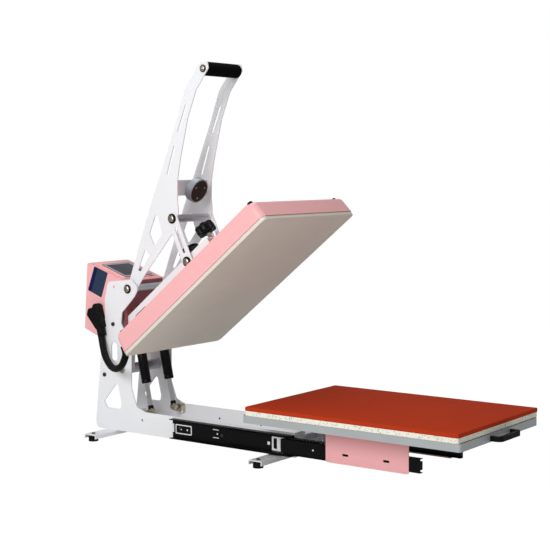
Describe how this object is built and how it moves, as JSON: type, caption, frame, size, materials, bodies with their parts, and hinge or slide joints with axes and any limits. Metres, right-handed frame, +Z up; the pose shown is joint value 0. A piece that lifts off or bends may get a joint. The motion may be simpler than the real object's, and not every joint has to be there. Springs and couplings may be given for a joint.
{
  "type": "heat_press",
  "caption": "Auto-open flat heat press, 400 x 600 mm, with a drawer bed, lever handle with holding magnet, gas springs and a pink control box",
  "frame": {"origin": "Middle of the press's overall box, on the floor that the rubber feet stand on.", "axes": "+X to the right seen from the drawer's front, +Y from the drawer's front to the back with the control box, +Z up."},
  "size_m": [0.4, 1.3015, 1.0285],
  "materials": {
    "white_steel": "white powder coat",
    "pink_steel": "pink powder coat",
    "pad_red": "brick red silicone",
    "board_white": "white board",
    "tray_aluminium": "brushed",
    "hot_aluminium": "grey coated casting",
    "steel": "zinc plated",
    "chrome_rod": "polished",
    "black_steel": "black",
    "black_plastic": "black",
    "black_rubber": "black",
    "foam": "black foam grip",
    "grey_plastic": "grey bezel",
    "dark_window": "dark display window",
    "green_board": "circuit board",
    "wool": "heat insulation wool",
    "white_plastic": "white ball cage"
  },
  "bodies": {
    "base": {"side_plate_left": "white_steel", "side_plate_right": "white_steel", "foot_bar_front": "white_steel", "foot_bar_rear": "white_steel", "frame_ties": "white_steel", "rubber_feet": "black_rubber", "slide_outers": "black_steel", "pivot_shafts": "steel", "pivot_spacers": "steel", "spring_brackets": "black_steel", "control_box": "pink_steel", "box_side_covers": "pink_steel", "control_panel": "grey_plastic", "panel_window": "dark_window", "controller_board": "green_board", "power_inlet": "black_plastic", "switch_frame": "black_plastic", "cable_gland": "black_plastic", "platen_cable": "black_rubber", "frame_bolts": "steel"},
    "arm": {"arm_channel": "white_steel", "guide_blocks": "steel", "strike_post": "steel", "strike_disc": "black_steel", "link_pins_low": "steel", "spring_pin_top": "steel"},
    "platen": {"platen_cover": "pink_steel", "heat_plate": "hot_aluminium", "insulation": "wool", "plate_spacers": "steel", "platen_bridge": "steel", "guide_rods": "steel", "screw_socket": "steel", "cover_caps": "black_plastic"},
    "pressure_screw_and_knob": {"pressure_knob": "black_plastic", "pressure_screw": "steel"},
    "handle": {"handle_plate_left": "white_steel", "handle_plate_right": "white_steel", "handle_grip": "foam", "grip_rod": "steel", "handle_cross_tube": "steel", "magnet_bracket": "white_steel", "electromagnet": "steel", "magnet_face": "black_steel", "magnet_fasteners": "steel"},
    "link_pair": {"links": "white_steel", "link_pins_top": "steel"},
    "gas_cylinder_pair": {"gas_cylinders": "black_steel"},
    "gas_rod_pair": {"gas_rods": "chrome_rod"},
    "slide_middle_pair": {"slide_middles": "black_steel", "ball_cages": "white_plastic"},
    "drawer": {"tray": "tray_aluminium", "slide_inners": "black_steel", "slide_bumpers": "black_plastic", "tray_brackets": "pink_steel", "tray_stiffeners": "tray_aluminium", "base_board": "board_white", "silicone_pad": "pad_red", "tray_pull": "black_plastic"},
    "switch_rocker": {"power_switch": "black_plastic"}
  },
  "joints": [
    {"name": "arm_hinge", "type": "hinge", "parent": "base", "child": "arm", "pos_m": [0, 0.50025, 0.1936], "axis": [1, 0, 0], "range_deg": [0, 38.5], "stiffness_Nm_per_rad": 100, "springref_deg": -74.48, "deforming": ["platen_cable"]},
    {"name": "handle_hinge", "type": "hinge", "parent": "base", "child": "handle", "pos_m": [0, 0.47625, 0.42], "axis": [1, 0, 0], "range_deg": [0, 66.95]},
    {"name": "link_hinge", "type": "hinge", "parent": "arm", "child": "link_pair", "pos_m": [0, 0.26555, 0.503], "axis": [1, 0, 0], "range_deg": [-75.53, 0]},
    {"name": "gas_cylinder_hinge", "type": "hinge", "parent": "arm", "child": "gas_cylinder_pair", "pos_m": [0, 0.47325, 0.293], "axis": [1, 0, 0], "range_deg": [-23.09, 0]},
    {"name": "gas_rod_slide", "type": "slide", "parent": "gas_cylinder_pair", "child": "gas_rod_pair", "axis": [0, 0.2088, 0.9779], "range_m": [0, 0.04294]},
    {"name": "platen_slide", "type": "slide", "parent": "arm", "child": "platen", "axis": [0, 0.6225, 0.7826], "range_m": [-0.004, 0.002]},
    {"name": "pressure_knob_turn", "type": "hinge", "parent": "platen", "child": "pressure_screw_and_knob", "pos_m": [0, 0.26572, 0.58859], "axis": [0, 0.6225, 0.7826], "range_deg": [-720, 360]},
    {"name": "drawer_slide", "type": "slide", "parent": "base", "child": "drawer", "axis": [0, 1, 0], "range_m": [0, 0.3895]},
    {"name": "slide_middle_travel", "type": "slide", "parent": "base", "child": "slide_middle_pair", "axis": [0, 1, 0], "range_m": [0, 0.19475]},
    {"name": "power_switch_rock", "type": "hinge", "parent": "base", "child": "switch_rocker", "pos_m": [0.024, 0.64475, 0.3255], "axis": [1, 0, 0], "range_deg": [-14, 0]}
  ],
  "couplings": [
    {"joint": "handle_hinge", "follows": "arm_hinge", "ratio": 1.7389},
    {"joint": "link_hinge", "follows": "arm_hinge", "ratio": -1.9617},
    {"joint": "gas_cylinder_hinge", "follows": "arm_hinge", "ratio": -0.59962},
    {"joint": "gas_rod_slide", "follows": "arm_hinge", "m_per_rad": 0.063903},
    {"joint": "pressure_knob_turn", "follows": "platen_slide", "rad_per_m": 3141.6},
    {"joint": "slide_middle_travel", "follows": "drawer_slide", "ratio": 0.5}
  ]
}
